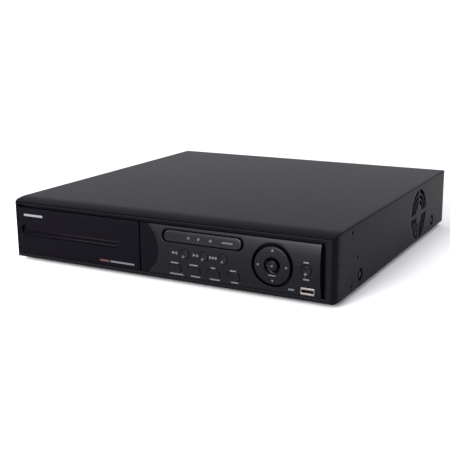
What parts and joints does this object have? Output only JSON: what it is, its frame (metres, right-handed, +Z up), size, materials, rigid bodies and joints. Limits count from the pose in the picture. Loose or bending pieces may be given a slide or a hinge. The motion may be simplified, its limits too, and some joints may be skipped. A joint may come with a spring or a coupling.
{
  "type": "video recorder",
  "caption": "Low black desktop video recorder: painted steel cover, slim disc tray, crowned panel with push buttons and a navigation ring, USB socket, side fan vent.",
  "frame": {"origin": "centre of the recorder's overall footprint, on the surface that its feet stand on", "axes": "+Z up, the front panel faces -Y, +X to the right as seen from the front"},
  "size_m": [0.38, 0.3846, 0.071],
  "materials": {
    "powder_coat": "satin fine-textured powder coat",
    "zinc_steel": "zinc-plated sheet steel",
    "black_abs": "fine-textured moulded ABS",
    "gloss_black": "polished black acrylic",
    "graphite_lacquer": "satin graphite lacquer",
    "smoked_acrylic": "smoked acrylic",
    "rubber": "matt moulded rubber",
    "circuit_board": "green solder mask",
    "nickel": "nickel plating",
    "white_nylon": "moulded nylon",
    "anodised_aluminium": "black anodised",
    "cast_metal": "die-cast, as cast",
    "green_nylon": "moulded nylon",
    "grey_pvc": "flat PVC cable"
  },
  "bodies": {
    "case": {"top_cover": "powder_coat", "rear_panel": "powder_coat", "chassis_pan": "zinc_steel", "disc_drive_bracket": "zinc_steel", "hard_drive_bracket": "zinc_steel", "disc_drive_case": "zinc_steel", "disc_drive_lid": "zinc_steel", "cover_screw_front_left": "zinc_steel", "cover_screw_front_right": "zinc_steel", "cover_screw_rear_left": "zinc_steel", "cover_screw_rear_right": "zinc_steel", "front_bezel": "black_abs", "power_inlet": "black_abs", "fan_frame": "black_abs", "audio_block": "black_abs", "mains_capacitor": "black_abs", "drive_fascia": "gloss_black", "control_panel": "graphite_lacquer", "indicator_window": "smoked_acrylic", "foot_front_left": "rubber", "foot_front_right": "rubber", "foot_rear_left": "rubber", "foot_rear_right": "rubber", "key_board": "circuit_board", "main_board": "circuit_board", "power_supply_board": "circuit_board", "usb_shell": "nickel", "monitor_port": "nickel", "network_jack": "nickel", "usb_tongue": "white_nylon", "heat_sink": "anodised_aluminium", "transformer": "anodised_aluminium", "hard_drive": "cast_metal", "video_input_block": "cast_metal", "alarm_terminal_block": "green_nylon", "front_ribbon": "grey_pvc", "drive_cable": "grey_pvc"},
    "rewind": {"rewind_button": "gloss_black"},
    "play": {"play_button": "gloss_black"},
    "forward": {"forward_button": "gloss_black"},
    "escape": {"escape_button": "gloss_black"},
    "enter": {"enter_button": "gloss_black"},
    "function_key_1": {"function_key_1": "black_abs"},
    "function_key_2": {"function_key_2": "black_abs"},
    "function_key_3": {"function_key_3": "black_abs"},
    "function_key_4": {"function_key_4": "black_abs"},
    "navigation_gimbal": {"navigation_gimbal": "white_nylon"},
    "navigation_ring": {"navigation_ring": "graphite_lacquer"},
    "disc_tray": {"disc_tray": "black_abs", "tray_front": "gloss_black"},
    "disc_spindle": {"disc_spindle": "zinc_steel"},
    "fan_rotor": {"fan_rotor": "black_abs"}
  },
  "joints": [
    {"name": "rewind_press", "type": "slide", "parent": "case", "child": "rewind", "axis": [0, 1, 0], "range_m": [0, 0.0008], "stiffness_N_per_m": 600, "springref_m": -0.0005},
    {"name": "play_press", "type": "slide", "parent": "case", "child": "play", "axis": [0, 1, 0], "range_m": [0, 0.0008], "stiffness_N_per_m": 600, "springref_m": -0.0005},
    {"name": "forward_press", "type": "slide", "parent": "case", "child": "forward", "axis": [0, 1, 0], "range_m": [0, 0.0008], "stiffness_N_per_m": 600, "springref_m": -0.0005},
    {"name": "escape_press", "type": "slide", "parent": "case", "child": "escape", "axis": [0, 1, 0], "range_m": [0, 0.0008], "stiffness_N_per_m": 600, "springref_m": -0.0005},
    {"name": "enter_press", "type": "slide", "parent": "case", "child": "enter", "axis": [0, 1, 0], "range_m": [0, 0.0008], "stiffness_N_per_m": 600, "springref_m": -0.0005},
    {"name": "function_key_1_press", "type": "slide", "parent": "case", "child": "function_key_1", "axis": [0, 1, 0], "range_m": [0, 0.0008], "stiffness_N_per_m": 600, "springref_m": -0.0005},
    {"name": "function_key_2_press", "type": "slide", "parent": "case", "child": "function_key_2", "axis": [0, 1, 0], "range_m": [0, 0.0008], "stiffness_N_per_m": 600, "springref_m": -0.0005},
    {"name": "function_key_3_press", "type": "slide", "parent": "case", "child": "function_key_3", "axis": [0, 1, 0], "range_m": [0, 0.0008], "stiffness_N_per_m": 600, "springref_m": -0.0005},
    {"name": "function_key_4_press", "type": "slide", "parent": "case", "child": "function_key_4", "axis": [0, 1, 0], "range_m": [0, 0.0008], "stiffness_N_per_m": 600, "springref_m": -0.0005},
    {"name": "navigation_up_down", "type": "hinge", "parent": "case", "child": "navigation_gimbal", "pos_m": [0.1274, -0.1854, 0.03575], "axis": [1, 0, 0], "range_deg": [-2.5, 2.5], "stiffness_Nm_per_rad": 0.5},
    {"name": "navigation_left_right", "type": "hinge", "parent": "navigation_gimbal", "child": "navigation_ring", "pos_m": [0.1274, -0.1854, 0.03575], "axis": [0, 0, 1], "range_deg": [-2.5, 2.5], "stiffness_Nm_per_rad": 0.5},
    {"name": "tray_slide", "type": "slide", "parent": "case", "child": "disc_tray", "axis": [0, -1, 0], "range_m": [0, 0.118]},
    {"name": "spindle_spin", "type": "hinge", "parent": "disc_tray", "child": "disc_spindle", "pos_m": [-0.1159, -0.1212, 0.0327], "axis": [0, 0, 1], "continuous": true},
    {"name": "fan_spin", "type": "hinge", "parent": "case", "child": "fan_rotor", "pos_m": [0.17, 0.0738, 0.037], "axis": [1, 0, 0], "continuous": true}
  ]
}
